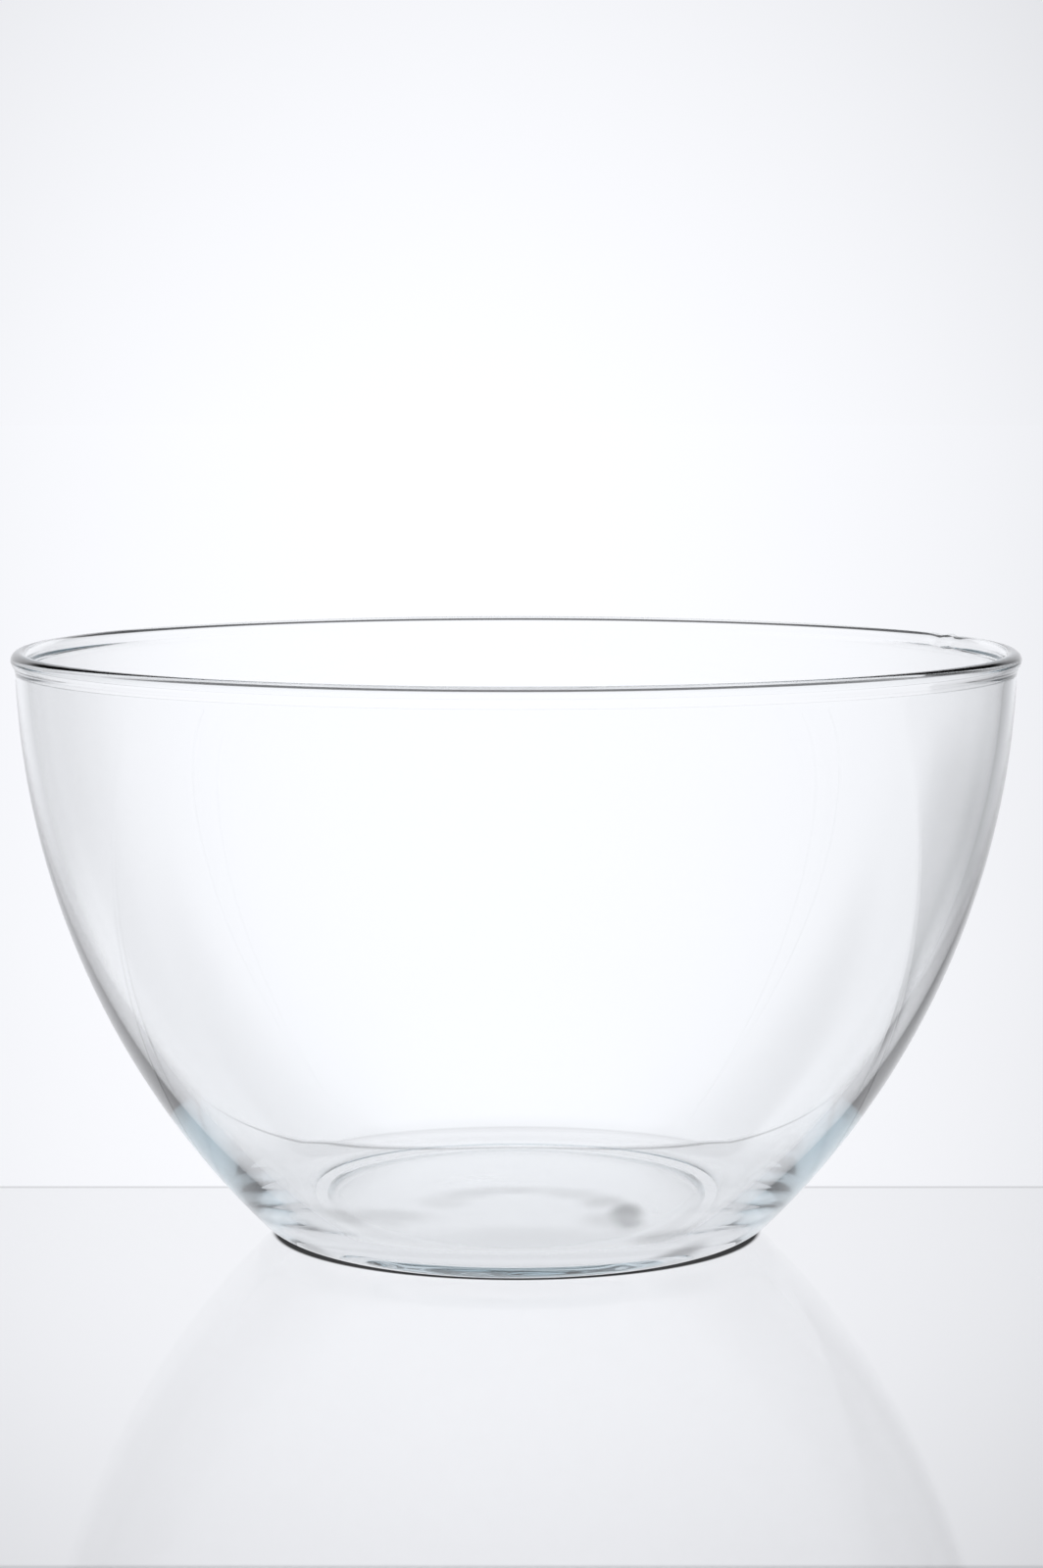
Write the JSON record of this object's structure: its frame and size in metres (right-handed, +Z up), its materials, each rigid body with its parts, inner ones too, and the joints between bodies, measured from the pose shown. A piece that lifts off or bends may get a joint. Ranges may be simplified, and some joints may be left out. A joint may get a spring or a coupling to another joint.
{
  "type": "glass bowl",
  "caption": "Deep round-sided bowl of clear glass with a fire-polished rim bead, a small flat foot ring and a kicked-up base, for serving or mixing food.",
  "frame": {"origin": "centre of the foot ring, on the plane that the bowl rests on", "axes": "+Z up along the bowl's axis; -Y towards the viewer of the picture, +X to the viewer's right"},
  "size_m": [0.24, 0.24, 0.1412],
  "materials": {
    "clear_glass": "clear soda-lime glass, fire polished all over, with a faint cool green tint in the thick base"
  },
  "bodies": {
    "root": {"bowl": "clear_glass"}
  },
  "joints": []
}
